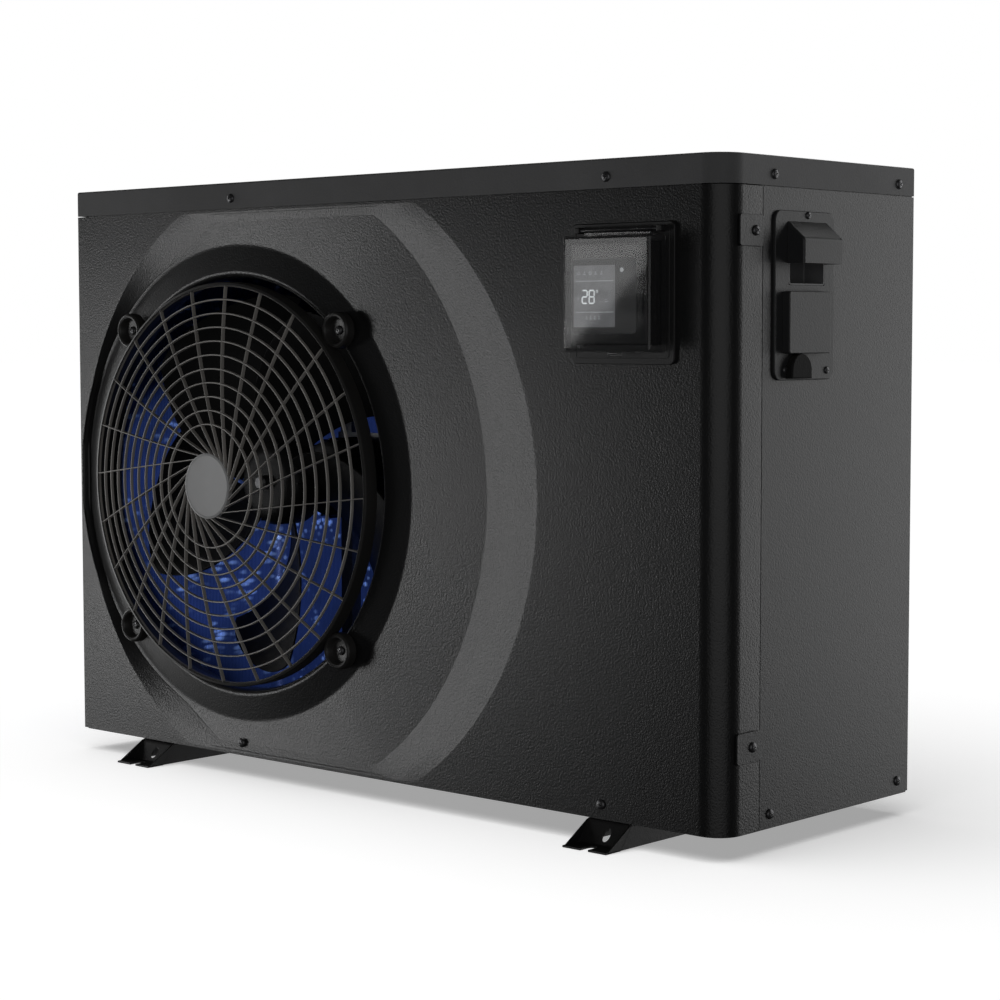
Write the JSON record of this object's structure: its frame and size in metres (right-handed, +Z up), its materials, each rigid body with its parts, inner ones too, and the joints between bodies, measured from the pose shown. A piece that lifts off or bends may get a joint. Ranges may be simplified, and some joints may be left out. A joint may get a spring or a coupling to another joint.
{
  "type": "pool heat pump",
  "caption": "Sheet-metal pool heat pump with a round domed fan grille, side carry handle, covered touch controller and rear water unions.",
  "frame": {"origin": "on the ground, under the middle of the bounding box", "axes": "+X to the right as seen from the fan side, +Y from the fan grille to the water unions behind, +Z up"},
  "size_m": [0.958, 0.414, 0.653],
  "materials": {
    "casing_paint": "fine-textured dark grey powder coat",
    "panel_paint": "fine-textured dark grey powder coat, slightly glossy",
    "guard_paint": "dark grey powder coat",
    "grille_plastic": "warm light grey, satin",
    "fan_plastic": "black, satin",
    "black_metal": "black enamel",
    "screw_steel": "zinc plated",
    "sheet_steel": "galvanised",
    "blue_fins": "blue hydrophilic coating on fins",
    "copper": "bare copper tube",
    "brass": "bare brass",
    "dark_plastic": "dark grey moulding",
    "grey_plastic": "grey moulding in the casing's colour",
    "controller_black": "gloss black",
    "screen_glass": "touch glass over a lit display",
    "clear_cover": "smoked clear cover",
    "rubber": "black rubber",
    "board": "green circuit board",
    "light_plastic": "white can"
  },
  "bodies": {
    "casing": {"base_pan": "casing_paint", "lid": "casing_paint", "front_panel": "panel_paint", "service_panel": "casing_paint", "rear_panel": "casing_paint", "rear_guard": "guard_paint", "left_guard": "guard_paint", "rear_left_post": "casing_paint", "partition": "sheet_steel", "left_foot": "casing_paint", "right_foot": "casing_paint", "upper_tab": "casing_paint", "lower_tab": "casing_paint", "upper_tab_screw": "screw_steel", "lower_tab_screw": "screw_steel", "lid_screw_1": "screw_steel", "lid_screw_2": "screw_steel", "base_screw_1": "screw_steel", "base_screw_2": "screw_steel", "fan_grille": "grille_plastic", "grille_screw_1": "screw_steel", "grille_screw_2": "screw_steel", "grille_screw_3": "screw_steel", "grille_screw_4": "screw_steel", "fan_motor": "black_metal", "motor_bracket": "sheet_steel", "evaporator_coil": "blue_fins", "compressor": "black_metal", "accumulator": "black_metal", "heat_exchanger": "dark_plastic", "four_way_valve": "brass", "expansion_valve": "brass", "discharge_pipe": "copper", "suction_pipe": "copper", "condenser_pipe": "copper", "evaporator_pipe": "copper", "coil_liquid_pipe": "copper", "tank_liquid_pipe": "copper", "electrical_box": "sheet_steel", "electrical_cover": "sheet_steel", "circuit_board": "board", "run_capacitor": "light_plastic", "inlet_port": "dark_plastic", "outlet_port": "dark_plastic", "controller_frame": "controller_black", "controller_body": "controller_black", "display_glass": "screen_glass", "cover_hinge_pin": "screw_steel", "handle_plate": "grey_plastic", "finger_pocket": "grey_plastic", "handle_grip": "grey_plastic", "wiring_cover": "grey_plastic", "cable_grommet": "rubber"},
    "fan": {"fan_rotor": "fan_plastic", "fan_nut": "screw_steel", "motor_shaft": "screw_steel"},
    "weather_cover": {"controller_cover": "clear_cover"},
    "inlet_nut": {"inlet_union_nut": "dark_plastic"},
    "outlet_nut": {"outlet_union_nut": "dark_plastic"}
  },
  "joints": [
    {"name": "fan_spin", "type": "hinge", "parent": "casing", "child": "fan", "pos_m": [-0.207, -0.098, 0.324], "axis": [0, 1, 0], "continuous": true},
    {"name": "cover_flip", "type": "hinge", "parent": "casing", "child": "weather_cover", "pos_m": [0.34, -0.172, 0.5855], "axis": [-1, 0, 0], "range_deg": [0, 105]},
    {"name": "inlet_nut_turn", "type": "hinge", "parent": "casing", "child": "inlet_nut", "pos_m": [0.366, 0.182, 0.133], "axis": [0, 1, 0], "continuous": true},
    {"name": "outlet_nut_turn", "type": "hinge", "parent": "casing", "child": "outlet_nut", "pos_m": [0.366, 0.182, 0.383], "axis": [0, 1, 0], "continuous": true}
  ]
}
